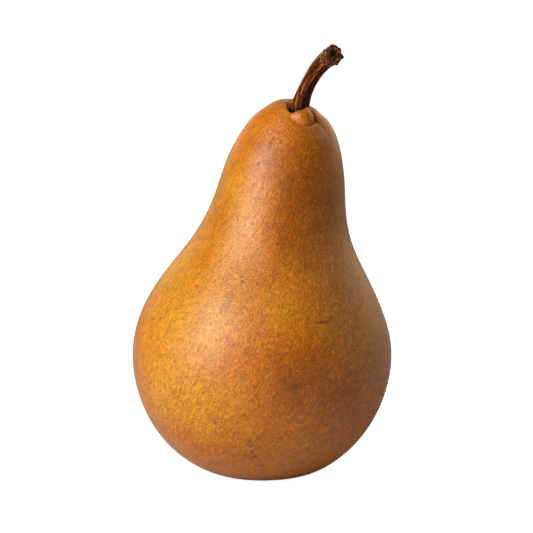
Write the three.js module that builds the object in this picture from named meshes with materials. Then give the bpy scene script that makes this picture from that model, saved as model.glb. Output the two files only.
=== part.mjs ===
// A ripe pear with a brown russet skin, standing upright on the ring round its flower end.
// Millimetres, +Z up, seen from -Y with +X to the right. The origin is under the middle of the belly.
import * as THREE from 'three';
import { ParametricGeometry } from 'three/addons/geometries/ParametricGeometry.js';
import { mergeVertices } from 'three/addons/utils/BufferGeometryUtils.js';

// Driving dimensions
const BELLY_RADIUS = 36.2;
const BODY_HEIGHT = 105;
const FOOT_RADIUS = 7.5;
const STEM_RADIUS = 2.1;
const GAP = 0.4;

// Number of facets round each piece and rows along it
const FRUIT_FACETS = [56, 66];
const STEM_FACETS = [32, 42];
const CALYX_FACETS = [50, 22];
const MERGE_DISTANCE = 1e-4;

// Basin underneath, from its middle outwards: radius and height, with the pocket of the calyx first
const CALYX_POCKET = [[0, 6.9], [1.3, 6.9], [2.05, 6.3], [2.05, 5]];
const BASIN = [[2.7, 4.35], [4.1, 4.1], [5.2, 2.2], [5.9, 0]];

// Flat ring that the pear stands on: how far inside or outside the foot's radius its rows lie
const FOOT_STEPS = [-0.8, 0.9, 2];

// Skin from the foot ring to the crown: radius as a share of the belly's, height as a share of the
// body's, then how far the middle of that ring lies towards +X and +Y
const SKIN = [
  [0.318, 0.004, 0.6, 0],
  [0.448, 0.016, 0.4, -0.1],
  [0.627, 0.050, -0.1, -0.3],
  [0.804, 0.110, -0.1, -0.3],
  [0.936, 0.192, -0.15, -0.3],
  [1.000, 0.290, -0.15, -0.3],
  [0.992, 0.381, -0.15, -0.3],
  [0.903, 0.469, -0.1, -0.3],
  [0.766, 0.549, 0.6, -0.1],
  [0.617, 0.625, 2.1, 0],
  [0.525, 0.705, 4.0, 0],
  [0.481, 0.785, 5.7, 0],
  [0.439, 0.859, 6.3, 0],
  [0.368, 0.918, 7.3, 0],
  [0.266, 0.964, 7.7, -0.3],
  [0.168, 0.990, 8.4, -1.5],
  [0.108, 1.000, 9.9, -2.6],
];

// Shallow lobes round the body: their number, height as a share of the radius, the angle of the
// first, the height on the body where they are strongest and how far they reach up and down
const LOBES = [
  { count: 2, swell: 0.010, angle: 35, height: 40, reach: 40 },
  { count: 3, swell: 0.010, angle: 100, height: 25, reach: 40 },
  { count: 5, swell: 0.010, angle: 20, height: 10, reach: 12 },
  { count: 4, swell: 0.012, angle: 60, height: 84, reach: 18 },
];

// The crown slopes a little: rise towards +X and +Y, and the heights between which it sets in
const CROWN_SLOPE = { x: -0.04, y: 0.08, middle: 7, from: 92, to: 104 };

// Folds of flesh round the foot of the stem: middle, reach, push and the crease round each. In turn
// the hollow at the foot's left, the nub in front, the lip above it, the shoulder behind, two small
// folds at the left and the slope at the right.
const FOLDS = [
  { at: [8.1, -5.7, 102.8], reach: [1.05, 1.9, 5.0], push: [0, 0, -2.5], crease: 0 },
  { at: [11.3, -7.7, 101.2], reach: [3.0, 2.6, 2.3], push: [0.2, -1.1, 0.9], crease: 0.50 },
  { at: [9.8, -6.4, 103.8], reach: [2.0, 1.6, 2.0], push: [0, 0, -0.9], crease: 0 },
  { at: [6.2, 1.4, 104.6], reach: [4.6, 4.4, 3.4], push: [0, 0, 0.7], crease: 0 },
  { at: [7.4, -2.2, 104.8], reach: [1.2, 1.9, 2.0], push: [-0.1, -0.3, 1.9], crease: 0 },
  { at: [7.0, -3.9, 103.8], reach: [0.7, 1.1, 1.8], push: [-0.1, -0.4, 1.1], crease: 0 },
  { at: [14.6, 0.4, 103.5], reach: [3.6, 4.6, 3.5], push: [0.6, 0, -1.2], crease: 0 },
];

// The crease lies at this distance round a fold, as a share of its reach, and only on its lower side:
// it sets in between these shares of the reach below the middle
const CREASE_PLACE = 1.2;
const CREASE_WIDTH = 0.22;
const CREASE_BELOW = [-0.4, 0.5];

// Grooves: two that run on down the right shoulder, and one between the small folds at the left
const GROOVES = [
  { from: [13.9, -5.6, 102.4], to: [15.8, -6.9, 100.4], width: 0.7, depth: 0.6 },
  { from: [15.8, -6.9, 100.4], to: [18.4, -7.4, 97.2], width: 0.9, depth: 0.5 },
  { from: [6.7, -2.0, 105.6], to: [7.3, -4.2, 103.6], width: 0.5, depth: 0.7 },
];
const NECK_MIDDLE = [7, 0, 92];

// Rows past the lip of the stem's pocket between which the folds fade out
const LIP_ROUNDING = [0.5, 2.7];

// Middle line of the stem, from its root in the flesh to the scar at its end
const STEM_LINE = [
  [9.0, -2.2, 95.0],
  [9.3, -2.5, 98.0],
  [9.8, -2.8, 101.2],
  [10.6, -3.0, 104.6],
  [11.8, -3.1, 108.2],
  [13.4, -3.4, 111.5],
  [15.3, -4.0, 114.4],
  [17.2, -5.0, 116.4],
  [18.6, -6.4, 117.6],
  [19.4, -7.8, 118.1],
];

// Girth of the stem: radius as a share of the usual one, and place as a share of the length
const ROOT_GIRTH = [[0, -0.01], [0.57, 0], [0.81, 0.08], [1.10, 0.18], [1.31, 0.27]];
const SHAFT_GIRTH = [[1.17, 0.34], [1.00, 0.44], [0.95, 0.56], [1.00, 0.68], [1.07, 0.80], [1.17, 0.90]];
const SCAR_GIRTH = [[1.19, 0.97], [1.12, 1.005], [0.81, 1.015], [0.48, 0.995], [0.24, 0.98], [0, 0.975]];

// Ridges and one furrow along the stem: angle, height as a share of the radius, width in degrees
// and the angle that they turn through over its length
const RIDGES = [
  { angle: 249, height: 0.26, width: 13, turn: 43 },
  { angle: 205, height: 0.18, width: 26, turn: 10 },
  { angle: 335, height: 0.14, width: 14, turn: 0 },
  { angle: 290, height: -0.12, width: 20, turn: 25 },
  { angle: 20, height: 0.16, width: 26, turn: 8 },
  { angle: 75, height: 0.18, width: 24, turn: -6 },
  { angle: 135, height: 0.16, width: 24, turn: 10 },
];
const RIDGE_START = [0.24, 0.36];
const RIDGE_FADE = { from: 1.2, slope: 0.7 };
const RIDGE_SINK = 0.08;

// Nodules on the scar: angle, distance from its middle as a share of its radius, step along the
// stem, height and reach
const NODULES = [
  [100, 0.95, -0.2, 0.50, 0.85],
  [48, 0.97, -0.1, 0.55, 0.75],
  [348, 0.97, -0.2, 0.50, 0.85],
  [306, 0.92, 0.0, 0.45, 0.75],
  [262, 0.88, 0.0, 0.30, 0.70],
  [215, 0.90, -0.1, 0.35, 0.70],
  [174, 0.90, 0.0, 0.40, 0.75],
  [135, 0.93, -0.2, 0.42, 0.70],
  [70, 0.50, 0.0, 0.40, 0.50],
  [200, 0.42, 0.0, 0.35, 0.50],
  [290, 0.45, 0.0, 0.38, 0.55],
];
const SCAR_RADIUS = 2.4;
const NODULE_LEAN = 0.6;

// Calyx from below: radius and height of a thin plate with a plug above it
const CALYX_PLATE = [[0, 3.1], [0.7, 3.3], [1.3, 3.2], [1.9, 2.85], [2.7, 2.9], [3.1, 3.3], [2.75, 3.7]];
const CALYX_PLUG = [[2.0, 3.95], [1.65, 5.0], [1.65, 6.1], [1.1, 6.5], [0, 6.5]];

// The five sepals that the rim of the plate runs out into
const SEPALS = [
  { angle: 15, length: 1.7, droop: 1.5 },
  { angle: 85, length: 2.1, droop: 1.5 },
  { angle: 160, length: 1.8, droop: 1.2 },
  { angle: 228, length: 2.0, droop: 1.6 },
  { angle: 303, length: 1.9, droop: 1.3 },
];
const SEPAL_WIDTH = 21;
const SEPAL_START = { radius: 1.7, over: 1.2, height: 5, under: 1 };
const DROOP_CURVE = 1.5;

// Plain finishes
const SKIN_FINISH = { color: 0xb06a1f, roughness: 0.45 };
const STEM_FINISH = { color: 0x4f2812, roughness: 0.7 };
const CALYX_FINISH = { color: 0x3a2616, roughness: 0.85 };

const { degToRad, smoothstep, euclideanModulo } = THREE.MathUtils;

// Point at t (0 to 1) of a smooth curve that the rows of numbers steer, a uniform cubic B-spline
function splineAt(rows, t) {
  const spans = rows.length - 3;
  const place = THREE.MathUtils.clamp(t, 0, 1) * spans;
  const first = Math.min(Math.floor(place), spans - 1);
  const f = place - first;
  const weights = [(1 - f) ** 3, 3 * f ** 3 - 6 * f ** 2 + 4, -3 * f ** 3 + 3 * f ** 2 + 3 * f + 1, f ** 3];
  return rows[first].map((_, k) => weights.reduce((sum, w, i) => sum + w * rows[first + i][k], 0) / 6);
}

// Rows with one more at each end, mirrored, so that the curve starts and ends on the given rows.
// A radius is mirrored to the far side of the axis, which closes the surface with a smooth cap.
function withEnds(rows, radiusFirst) {
  const mirror = (end, next) => end.map((value, k) => {
    const sameHeight = radiusFirst && k === 1;
    return sameHeight ? next[k] : 2 * value - next[k];
  });
  return [mirror(rows[0], rows[1]), ...rows, mirror(rows.at(-1), rows.at(-2))];
}

class StemLine extends THREE.Curve {
  rows = withEnds(STEM_LINE, false);

  getPoint(t, target = new THREE.Vector3()) {
    return target.fromArray(splineAt(this.rows, t));
  }
}

const stemLine = new StemLine();
const stemLength = stemLine.getLength();

// Point at a share of the stem's length, which may lie a little past either end
function stemMiddle(share) {
  const inside = THREE.MathUtils.clamp(share, 0, 1);
  const tangent = stemLine.getTangentAt(inside);
  return stemLine.getPointAt(inside).addScaledVector(tangent, (share - inside) * stemLength);
}

// Directions across the stem: to its right and to its back
function stemSides(share) {
  const tangent = stemLine.getTangentAt(THREE.MathUtils.clamp(share, 0, 1));
  const right = new THREE.Vector3(0, 1, 0).cross(tangent).normalize();
  const back = tangent.clone().cross(right);
  return { tangent, right, back };
}

// The pocket that the stem stands in follows the root of the stem, a gap away
function stemPocket() {
  const [end, ...root] = ROOT_GIRTH;
  const rows = root.reverse().map(([girth, share]) => {
    const middle = stemMiddle(share);
    return [girth * STEM_RADIUS + GAP, middle.z, middle.x, middle.y];
  });
  const bottom = stemMiddle(end[1]);
  const floor = bottom.z - GAP;
  return [...rows, [rows.at(-1)[0] / 2, floor, bottom.x, bottom.y], [0, floor, bottom.x, bottom.y]];
}

function fruitRows() {
  const centred = ([radius, height]) => [radius, height, 0, 0];
  const foot = FOOT_STEPS.map((step) => [FOOT_RADIUS + step, 0]);
  const skin = SKIN.map(([radius, height, x, y]) => [radius * BELLY_RADIUS, height * BODY_HEIGHT, x, y]);
  const underside = [...CALYX_POCKET, ...BASIN, ...foot].map(centred);
  return withEnds([...underside, ...skin, ...stemPocket()], true);
}

const profile = fruitRows();
const profileSpans = profile.length - 3;
const lip = profileSpans - ROOT_GIRTH.length - 1;

// The fruit: rings round a leaning axis, with lobes, a sloping crown, folds and grooves
function fruitAt(u, v, target) {
  const angle = 2 * Math.PI * (u % 1);
  const [ring, height, x, y] = splineAt(profile, v);
  const outside = 1 - smoothstep(v * profileSpans, lip + LIP_ROUNDING[0], lip + LIP_ROUNDING[1]);
  const swell = LOBES.reduce((sum, lobe) => {
    const wave = Math.cos(lobe.count * (angle - degToRad(lobe.angle)));
    return sum + lobe.swell * wave * Math.exp(-(((height - lobe.height) / lobe.reach) ** 2));
  }, 0);
  const radius = ring * (1 + swell * outside);
  const point = new THREE.Vector3(x + radius * Math.cos(angle), y + radius * Math.sin(angle), height);
  const rise = CROWN_SLOPE.x * (point.x - CROWN_SLOPE.middle) + CROWN_SLOPE.y * point.y;
  point.z += rise * outside * smoothstep(height, CROWN_SLOPE.from, CROWN_SLOPE.to);

  const outward = point.clone().sub(new THREE.Vector3(...NECK_MIDDLE)).normalize();
  target.copy(point);
  for (const fold of FOLDS) {
    const reach = new THREE.Vector3(...fold.reach);
    const distance = point.clone().sub(new THREE.Vector3(...fold.at)).divide(reach).length();
    const below = smoothstep((fold.at[2] - point.z) / fold.reach[2], ...CREASE_BELOW);
    const crease = below * Math.exp(-(((distance - CREASE_PLACE) / CREASE_WIDTH) ** 2));
    target.addScaledVector(new THREE.Vector3(...fold.push), outside * Math.exp(-(distance ** 3)));
    target.addScaledVector(outward, -outside * fold.crease * crease);
  }
  for (const groove of GROOVES) {
    const line = new THREE.Line3(new THREE.Vector3(...groove.from), new THREE.Vector3(...groove.to));
    const nearest = line.closestPointToPoint(point, true, new THREE.Vector3());
    const distance = nearest.distanceTo(point) / groove.width;
    target.addScaledVector(outward, -outside * groove.depth * Math.exp(-(distance ** 2)));
  }
}

const girthRows = withEnds([...ROOT_GIRTH, ...SHAFT_GIRTH, ...SCAR_GIRTH], true);

// The stem: rings across its bent line, with ridges along it and nodules on its scar
function stemAt(u, v, target) {
  const angle = 2 * Math.PI * (u % 1);
  const [girth, share] = splineAt(girthRows, v);
  const { right, back } = stemSides(share);
  const fade = Math.min(1, RIDGE_FADE.from - RIDGE_FADE.slope * share);
  const strength = fade * smoothstep(share, ...RIDGE_START);
  const relief = RIDGES.reduce((sum, ridge) => {
    const turned = THREE.MathUtils.radToDeg(angle) - ridge.angle - ridge.turn * share;
    const away = euclideanModulo(turned + 180, 360) - 180;
    return sum + ridge.height * Math.exp(-((away / ridge.width) ** 2));
  }, -RIDGE_SINK);
  const radius = girth * STEM_RADIUS * (1 + relief * strength);
  const point = stemMiddle(share);
  point.addScaledVector(right, radius * Math.cos(angle));
  point.addScaledVector(back, radius * Math.sin(angle));

  target.copy(point);
  const tip = stemMiddle(1);
  const across = stemSides(1);
  for (const [nodule, place, step, height, reach] of NODULES) {
    const outward = across.right.clone().multiplyScalar(Math.cos(degToRad(nodule)));
    outward.addScaledVector(across.back, Math.sin(degToRad(nodule)));
    const middle = tip.clone().addScaledVector(outward, SCAR_RADIUS * place);
    middle.addScaledVector(across.tangent, step);
    const push = outward.multiplyScalar(place);
    push.addScaledVector(across.tangent, 1 - NODULE_LEAN * place).normalize();
    const distance = point.distanceTo(middle) / reach;
    target.addScaledVector(push, height * Math.exp(-(distance ** 2)));
  }
}

const calyxRows = withEnds([...CALYX_PLATE, ...CALYX_PLUG], true);

// The calyx: a plug in the basin whose thin rim runs out into five drooping sepals
function calyxAt(u, v, target) {
  const angle = 2 * Math.PI * (u % 1);
  const [ring, level] = splineAt(calyxRows, v);
  const flare = smoothstep(ring, SEPAL_START.radius, SEPAL_START.radius + SEPAL_START.over)
    * smoothstep(-level, -SEPAL_START.height, SEPAL_START.under - SEPAL_START.height);
  let radius = ring;
  let height = level;
  for (const sepal of SEPALS) {
    const away = euclideanModulo(THREE.MathUtils.radToDeg(angle) - sepal.angle + 180, 360) - 180;
    const share = flare * Math.exp(-((away / SEPAL_WIDTH) ** 2));
    radius += sepal.length * share;
    height -= sepal.droop * share ** DROOP_CURVE;
  }
  target.set(radius * Math.cos(angle), radius * Math.sin(angle), height);
}

// One closed body from a surface that ends in a point at both ends
function closedBody(pointAt, [around, along]) {
  const geometry = new ParametricGeometry((u, v, target) => pointAt(u, v, target), around, along);
  geometry.deleteAttribute('normal');
  geometry.deleteAttribute('uv');
  const merged = mergeVertices(geometry, MERGE_DISTANCE);
  const corners = Array.from(merged.index.array);
  const kept = [];
  for (let i = 0; i < corners.length; i += 3) {
    const [a, b, c] = corners.slice(i, i + 3);
    if (a !== b && b !== c && c !== a) kept.push(a, b, c);
  }
  merged.setIndex(kept);
  merged.computeVertexNormals();
  return merged;
}

function piece(name, geometry, finish) {
  const material = new THREE.MeshStandardMaterial({ ...finish, metalness: 0 });
  const mesh = new THREE.Mesh(geometry, material);
  mesh.name = name;
  return mesh;
}

const group = new THREE.Group();
group.add(piece('fruit', closedBody(fruitAt, FRUIT_FACETS), SKIN_FINISH));
group.add(piece('stem', closedBody(stemAt, STEM_FACETS), STEM_FINISH));
group.add(piece('calyx', closedBody(calyxAt, CALYX_FACETS), CALYX_FINISH));

export default group;
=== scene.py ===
"""A ripe pear with a brown russet skin, its woody stem and its dry calyx, on a pale studio floor."""
import math

import bpy
import numpy as np
from bpy.props import FloatProperty, FloatVectorProperty, IntProperty, PointerProperty
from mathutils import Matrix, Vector


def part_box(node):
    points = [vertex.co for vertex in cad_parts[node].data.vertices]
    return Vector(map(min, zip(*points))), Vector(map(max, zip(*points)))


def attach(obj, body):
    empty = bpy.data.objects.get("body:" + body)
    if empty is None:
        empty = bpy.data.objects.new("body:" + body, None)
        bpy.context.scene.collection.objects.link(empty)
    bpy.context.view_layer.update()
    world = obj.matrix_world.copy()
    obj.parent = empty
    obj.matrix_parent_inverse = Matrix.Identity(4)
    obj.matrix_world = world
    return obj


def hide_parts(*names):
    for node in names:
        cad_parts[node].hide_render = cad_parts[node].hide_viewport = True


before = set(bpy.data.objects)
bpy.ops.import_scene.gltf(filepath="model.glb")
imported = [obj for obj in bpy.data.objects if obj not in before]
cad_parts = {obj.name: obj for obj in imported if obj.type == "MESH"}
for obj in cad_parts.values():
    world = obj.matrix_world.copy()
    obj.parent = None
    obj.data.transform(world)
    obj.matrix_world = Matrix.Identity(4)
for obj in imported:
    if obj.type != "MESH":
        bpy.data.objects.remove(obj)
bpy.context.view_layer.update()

bl_info = {
    "name": "Russet Pear",
    "version": (1, 0, 0),
    "blender": (4, 5, 0),
    "location": "3D View > Sidebar > Pear",
    "description": "Builds a pear with its skin, stem and calyx, and the stage that it stands on",
    "category": "Add Mesh",
}

MM = 0.001

# Driving dimensions in millimetres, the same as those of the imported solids
BELLY_RADIUS = 36.2
BODY_HEIGHT = 105.0
FOOT_RADIUS = 7.5
STEM_RADIUS = 2.1
GAP = 0.4

# Basin underneath, from its middle outwards: radius and height, with the pocket of the calyx first
CALYX_POCKET = [(0, 6.9), (1.3, 6.9), (2.05, 6.3), (2.05, 5)]
BASIN = [(2.7, 4.35), (4.1, 4.1), (5.2, 2.2), (5.9, 0)]

# Flat ring that the pear stands on: how far inside or outside the foot's radius its rows lie
FOOT_STEPS = (-0.8, 0.9, 2)

# Skin from the foot ring to the crown: radius as a share of the belly's, height as a share of the
# body's, then how far the middle of that ring lies towards +X and +Y
SKIN = [
    (0.318, 0.004, 0.6, 0),
    (0.448, 0.016, 0.4, -0.1),
    (0.627, 0.050, -0.1, -0.3),
    (0.804, 0.110, -0.1, -0.3),
    (0.936, 0.192, -0.15, -0.3),
    (1.000, 0.290, -0.15, -0.3),
    (0.992, 0.381, -0.15, -0.3),
    (0.903, 0.469, -0.1, -0.3),
    (0.766, 0.549, 0.6, -0.1),
    (0.617, 0.625, 2.1, 0),
    (0.525, 0.705, 4.0, 0),
    (0.481, 0.785, 5.7, 0),
    (0.439, 0.859, 6.3, 0),
    (0.368, 0.918, 7.3, 0),
    (0.266, 0.964, 7.7, -0.3),
    (0.168, 0.990, 8.4, -1.5),
    (0.108, 1.000, 9.9, -2.6),
]

# Shallow lobes round the body: number, swell as a share of the radius, angle, height and reach
LOBES = [(2, 0.010, 35, 40, 40), (3, 0.010, 100, 25, 40), (5, 0.010, 20, 10, 12), (4, 0.012, 60, 84, 18)]

# The crown slopes a little: rise towards +X and +Y, the X where the first is nothing, and the heights
# between which it sets in
CROWN_SLOPE = {"x": -0.04, "y": 0.08, "middle": 7, "between": (92, 104)}

# Folds of flesh round the foot of the stem: middle, reach, push and the crease round each
FOLDS = [
    ((8.1, -5.7, 102.8), (1.05, 1.9, 5.0), (0, 0, -2.5), 0),
    ((11.3, -7.7, 101.2), (3.0, 2.6, 2.3), (0.2, -1.1, 0.9), 0.50),
    ((9.8, -6.4, 103.8), (2.0, 1.6, 2.0), (0, 0, -0.9), 0),
    ((6.2, 1.4, 104.6), (4.6, 4.4, 3.4), (0, 0, 0.7), 0),
    ((7.4, -2.2, 104.8), (1.2, 1.9, 2.0), (-0.1, -0.3, 1.9), 0),
    ((7.0, -3.9, 103.8), (0.7, 1.1, 1.8), (-0.1, -0.4, 1.1), 0),
    ((14.6, 0.4, 103.5), (3.6, 4.6, 3.5), (0.6, 0, -1.2), 0),
]

# Crease round a fold, in reaches: distance from the fold's middle, width, and how far below it sets in
CREASE_PLACE = 1.2
CREASE_WIDTH = 0.22
CREASE_BELOW = (-0.4, 0.5)

# Grooves: ends, width and depth
GROOVES = [
    ((13.9, -5.6, 102.4), (15.8, -6.9, 100.4), 0.7, 0.6),
    ((15.8, -6.9, 100.4), (18.4, -7.4, 97.2), 0.9, 0.5),
    ((6.7, -2.0, 105.6), (7.3, -4.2, 103.6), 0.5, 0.7),
]

# Point in the neck that creases and grooves sink towards
NECK_MIDDLE = (7, 0, 92)

# Rows past the lip of the stem's pocket between which lobes and folds fade out
LIP_ROUNDING = (0.5, 2.7)

# Middle line of the stem, from its root in the flesh to the scar at its end
STEM_LINE = [
    (9.0, -2.2, 95.0),
    (9.3, -2.5, 98.0),
    (9.8, -2.8, 101.2),
    (10.6, -3.0, 104.6),
    (11.8, -3.1, 108.2),
    (13.4, -3.4, 111.5),
    (15.3, -4.0, 114.4),
    (17.2, -5.0, 116.4),
    (18.6, -6.4, 117.6),
    (19.4, -7.8, 118.1),
]

# Girth of the stem: radius as a share of the usual one, and place as a share of the length
ROOT_GIRTH = [(0, -0.01), (0.57, 0), (0.81, 0.08), (1.10, 0.18), (1.31, 0.27)]
SHAFT_GIRTH = [(1.17, 0.34), (1.00, 0.44), (0.95, 0.56), (1.00, 0.68), (1.07, 0.80), (1.17, 0.90)]
SCAR_GIRTH = [(1.19, 0.97), (1.12, 1.005), (0.81, 1.015), (0.48, 0.995), (0.24, 0.98), (0, 0.975)]

# Ridges and one furrow along the stem: angle, height as a share of the radius, width in degrees
# and the angle that they turn through over its length
RIDGES = [
    (249, 0.26, 13, 43),
    (205, 0.18, 26, 10),
    (335, 0.14, 14, 0),
    (290, -0.12, 20, 25),
    (20, 0.16, 26, 8),
    (75, 0.18, 24, -6),
    (135, 0.16, 24, 10),
]

# Ridges: shares of the length between which they set in, how they fade towards the end, and how far
# the wood between them is sunk
RIDGE_START = (0.24, 0.36)
RIDGE_FADE = {"from": 1.2, "slope": 0.7}
RIDGE_SINK = 0.08

# Nodules on the scar: angle, distance from its middle as a share of its radius, step along the
# stem, height and reach
NODULES = [
    (100, 0.95, -0.2, 0.50, 0.85),
    (48, 0.97, -0.1, 0.55, 0.75),
    (348, 0.97, -0.2, 0.50, 0.85),
    (306, 0.92, 0.0, 0.45, 0.75),
    (262, 0.88, 0.0, 0.30, 0.70),
    (215, 0.90, -0.1, 0.35, 0.70),
    (174, 0.90, 0.0, 0.40, 0.75),
    (135, 0.93, -0.2, 0.42, 0.70),
    (70, 0.50, 0.0, 0.40, 0.50),
    (200, 0.42, 0.0, 0.35, 0.50),
    (290, 0.45, 0.0, 0.38, 0.55),
]

# Radius of the scar, and how much the push of a nodule at its rim leans away from the stem's line
SCAR_RADIUS = 2.4
NODULE_LEAN = 0.6

# Fine wrinkles round the stem: how many, height in millimetres and how far they wander along it
WRINKLES = [(7, 0.050, 1.1), (11, 0.045, 1.7), (17, 0.035, 2.2), (26, 0.022, 3.0)]

# Path of the wrinkles: rate of the first one's waves, lag of each next one, and turn along the stem
WRINKLE_PATH = {"rate": 5.3, "lag": 1.9, "turn": 0.8}

# Height of the wrinkles: mean share, its swing, and the turn of that swing along the stem
WRINKLE_SWELL = {"mean": 0.6, "swing": 0.4, "turn": 9}

# Height in millimetres of a wrinkle that gets the painted highlight and shade of a ridge as high as the
# radius
WRINKLE_TINT = 0.2

# Shares of the length between which the bark gives way to the scar
BARK_END = (0.80, 0.95)

# Calyx from below: radius and height of a thin plate with a plug above it
CALYX_PLATE = [(0, 3.1), (0.7, 3.3), (1.3, 3.2), (1.9, 2.85), (2.7, 2.9), (3.1, 3.3), (2.75, 3.7)]
CALYX_PLUG = [(2.0, 3.95), (1.65, 5.0), (1.65, 6.1), (1.1, 6.5), (0, 6.5)]

# The five sepals that the rim of the plate runs out into: angle, length and droop
SEPALS = [(15, 1.7, 1.5), (85, 2.1, 1.5), (160, 1.8, 1.2), (228, 2.0, 1.6), (303, 1.9, 1.3)]

# Sepals: width in degrees, power of the droop, and the radii and heights between which they set in
SEPAL_WIDTH = 21
DROOP_CURVE = 1.5
SEPAL_START = {"radius": (1.7, 2.9), "height": (5, 4)}

# Soft dents and swellings of the skin: angle round the body, height, reach and depth (+ is inwards)
DENTS = [
    (262, 60, 9, 0.30), (290, 44, 10, -0.30), (245, 84, 8, 0.20), (300, 78, 9, 0.20), (220, 52, 9, 0.25),
]

# Heights between which swellings and dents set in above the foot, and fade out below the crown
SWELLING_START = (3, 9)
SWELLING_END = (101, 93)

# Broad tones of the skin: angle round the body, height, reach and strength of each patch
TONES = {
    "golden": [
        (222, 46, 17, 0.70), (230, 27, 12, 0.75), (284, 53, 6, 0.70), (258, 21, 10, 0.65),
        (205, 62, 9, 0.40), (280, 86, 8, 0.35), (251, 50, 10, 0.60), (236, 84, 12, 0.10),
        (243, 68, 12, 0.45), (224, 77, 10, 0.45), (120, 40, 20, 0.70), (70, 64, 14, 0.50),
        (30, 24, 14, 0.60), (150, 84, 12, 0.40),
    ],
    "olive": [
        (327, 60, 15, 0.85), (325, 45, 16, 0.80), (352, 40, 20, 0.75), (345, 80, 12, 0.45),
        (60, 30, 18, 0.50), (100, 78, 12, 0.55),
    ],
    "brown": [
        (297, 69, 11, 0.70), (318, 66, 11, 0.85), (308, 86, 13, 0.80), (285, 35, 12, 0.45),
        (300, 28, 14, 0.40), (245, 24, 8, 0.15), (20, 66, 14, 0.50), (160, 30, 14, 0.40),
        (85, 96, 10, 0.40), (212, 82, 12, 0.40),
    ],
    "net": [
        (229, 26, 13, 0.60), (257, 17, 12, 0.50), (300, 14, 14, 0.45), (327, 55, 15, 1.00),
        (325, 35, 16, 0.75), (215, 52, 12, 0.30), (140, 24, 22, 0.90), (40, 22, 22, 0.80),
        (80, 70, 18, 0.50),
    ],
}

# How much the mottling of the skin adds to each tone
TONE_MOTTLE = {"golden": 1.0, "brown": -0.8, "olive": 1.0}

# Random waves: seed, number, longest and shortest wave; for the tones the seed of the first and the
# height of the waves stand apart
SWELLINGS = (4, 60, 42, 14)
SCAR_LUMPS = (9, 80, 2.2, 0.7)
TONE_SEED = 20
TONE_WAVES = (40, 30, 10)
TONE_RIPPLE = 0.13

# Noises of skin and bark: features in each millimetre, octaves, roughness and warp
NOISES = {
    "cloud": (0.22, 4.0, 0.6, 0.3),
    "blotch": (0.7, 3.0, 0.6, 0.0),
    "edge": (1.9, 2.0, 0.5, 0.0),
    "fibres": (2.4, 4.0, 0.65, 0.5),
    "patches": (0.9, 3.0, 0.6, 0.0),
    "cracks": (1.5, 2.0, 0.5, 0.35),
    "lumps": (1.1, 3.0, 0.6, 0.0),
    "flecks": (1.05, 2.0, 0.6, 0.6),
    "greys": (0.8, 2.0, 0.5, 0.0),
}

# Nets and pits, as shares of a cell: width of the lines, warp, radius of a pit, cells that hold one
NET = {"Line": 0.35, "Warp": 1.1}
FINE_NET = {"Line": 0.22, "Warp": 1.0}
PITS = {"Radius": 0.32, "Share": 0.45}

# How fine the fine net is beside the net, and the streaks beside the grain
FINE_NET_SCALE = 2.3
STREAK_SCALE = 0.7

# Specks of the grain of bark and sepals in each millimetre
BARK_GRAIN = 2.6
SEPAL_GRAIN = 2.2

# How fine each pattern is along the piece, as a share of how fine it is round it
STRETCH = {"net": 0.7, "blotch": 0.6, "streaks": 0.3, "pits": 0.6, "fibres": 0.16, "patches": 0.45,
           "cracks": 0.09}

# Streaks follow a twisted cylinder wrapped round the skin: its radius and its turn in each millimetre
FLOW_RADIUS = 30.0
FLOW_TWIST = 0.012

# Small marks: angle round the body, height, reach round and along, lean in degrees, colour and strength
MARKS = [
    (255.4, 60.4, 0.55, 0.28, 20, "bruise", 0.60),
    (256.6, 59.2, 0.45, 0.40, -30, "bruise", 0.70),
    (257.9, 59.8, 0.30, 0.25, 0, "bruise", 0.45),
    (248.0, 61.3, 0.28, 3.20, 57, "pale", 0.40),
    (248.4, 60.6, 0.20, 2.60, 57, "bruise", 0.25),
    (252.8, 55.6, 1.10, 2.80, -10, "bruise", 0.20),
    (251.3, 52.4, 1.00, 1.80, 20, "bruise", 0.18),
    (243.0, 89.3, 0.55, 0.75, 0, "bruise", 0.80),
    (246.0, 92.6, 0.35, 0.45, 0, "pit", 0.70),
    (248.5, 93.8, 0.35, 0.50, 0, "pit", 0.60),
    (249.8, 94.8, 0.45, 0.60, -20, "pit", 0.85),
    (251.0, 95.8, 0.30, 0.50, -20, "pit", 0.70),
    (299.2, 48.7, 2.30, 0.40, -4, "pit", 0.65),
    (292.0, 50.2, 1.20, 0.30, 10, "pit", 0.40),
    (273.5, 36.1, 0.16, 1.60, -49, "pale", 0.65),
    (284.5, 32.5, 0.80, 0.75, 0, "bruise", 0.70),
    (284.5, 32.4, 2.20, 2.00, 0, "pit", 0.30),
    (276.5, 30.4, 0.80, 0.70, 0, "bruise", 0.40),
    (264.5, 16.9, 0.42, 0.48, 0, "bruise", 0.85),
    (264.6, 15.4, 0.50, 0.45, 0, "bruise", 0.85),
    (265.2, 13.4, 0.55, 0.60, 0, "bruise", 0.60),
    (266.5, 12.0, 0.55, 0.45, 0, "bruise", 0.90),
    (269.5, 8.7, 1.10, 0.50, 0, "bruise", 0.60),
    (225.8, 16.2, 0.40, 0.45, 0, "bruise", 0.75),
    (249.0, 22.1, 0.30, 0.55, -30, "bruise", 0.70),
    (341.0, 40.5, 0.22, 3.20, 0, "pale", 0.60),
    (346.0, 41.5, 0.20, 2.60, 0, "pale", 0.50),
    (338.0, 36.0, 0.20, 1.60, -8, "pale", 0.45),
    (31.0, 48.0, 0.90, 0.80, 0, "bruise", 0.70),
    (74.0, 33.0, 1.60, 0.35, 8, "pit", 0.65),
    (118.0, 58.0, 0.55, 0.60, 0, "bruise", 0.80),
    (161.0, 41.0, 0.50, 1.60, 30, "pit", 0.55),
    (186.0, 70.0, 0.60, 0.50, 0, "bruise", 0.60),
    (97.0, 20.0, 0.60, 0.70, 0, "bruise", 0.70),
]

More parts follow.
